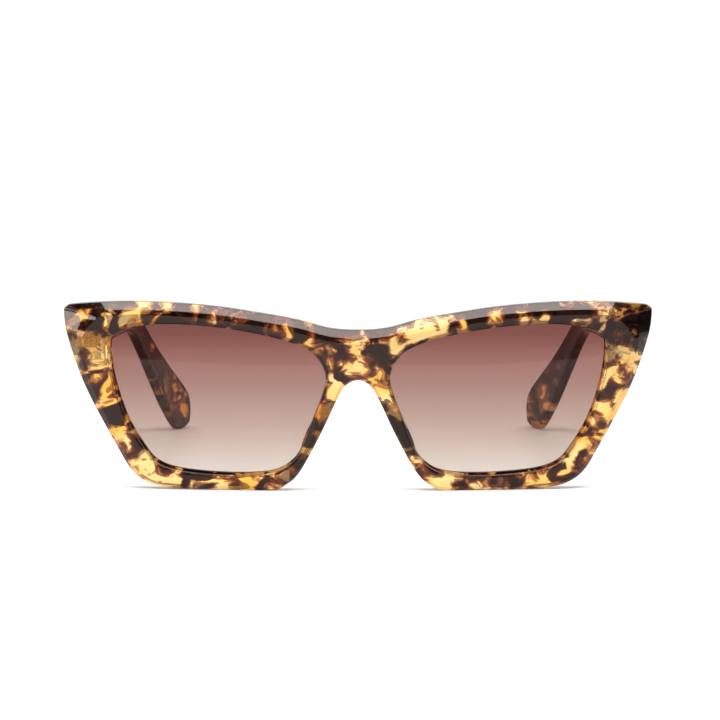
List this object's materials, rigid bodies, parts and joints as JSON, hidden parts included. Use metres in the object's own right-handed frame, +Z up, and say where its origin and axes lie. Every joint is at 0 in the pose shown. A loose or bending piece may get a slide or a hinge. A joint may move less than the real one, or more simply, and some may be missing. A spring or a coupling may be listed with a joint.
{
  "type": "cat eye sunglasses",
  "caption": "Cat eye sunglasses with a solid acetate front, gradient tinted lenses and temples that fold on barrel hinges.",
  "frame": {"origin": "on the table, under the middle of the standing glasses' box", "axes": "+Z up, the front looks along -Y and the temples reach back along +Y, +X is the wearer's left"},
  "size_m": [0.1428, 0.1477, 0.0461],
  "materials": {
    "acetate": "polished amber and dark brown tortoiseshell acetate",
    "pad_acetate": "polished tortoiseshell acetate",
    "temple_acetate": "polished dark tortoiseshell acetate",
    "lens": "polished lens, rosy brown at the top fading downward",
    "hinge_metal": "gold plated nickel silver",
    "screw_steel": "turned stainless steel",
    "core_metal": "drawn nickel silver"
  },
  "bodies": {
    "front": {"front_frame": "acetate", "left_lens": "lens", "right_lens": "lens", "left_nose_pad": "pad_acetate", "right_nose_pad": "pad_acetate", "left_front_hinge_leaf": "hinge_metal", "right_front_hinge_leaf": "hinge_metal", "left_hinge_screw": "screw_steel", "right_hinge_screw": "screw_steel"},
    "left_arm": {"left_temple": "temple_acetate", "left_temple_hinge_leaf": "hinge_metal", "left_core_wire": "core_metal"},
    "right_arm": {"right_temple": "temple_acetate", "right_temple_hinge_leaf": "hinge_metal", "right_core_wire": "core_metal"}
  },
  "joints": [
    {"name": "left_fold", "type": "hinge", "parent": "front", "child": "left_arm", "pos_m": [0.065, -0.0593, 0.0376], "axis": [0, 0, 1], "range_deg": [0, 86.5]},
    {"name": "right_fold", "type": "hinge", "parent": "front", "child": "right_arm", "pos_m": [-0.065, -0.0593, 0.0376], "axis": [0, 0, -1], "range_deg": [0, 72.5]}
  ]
}
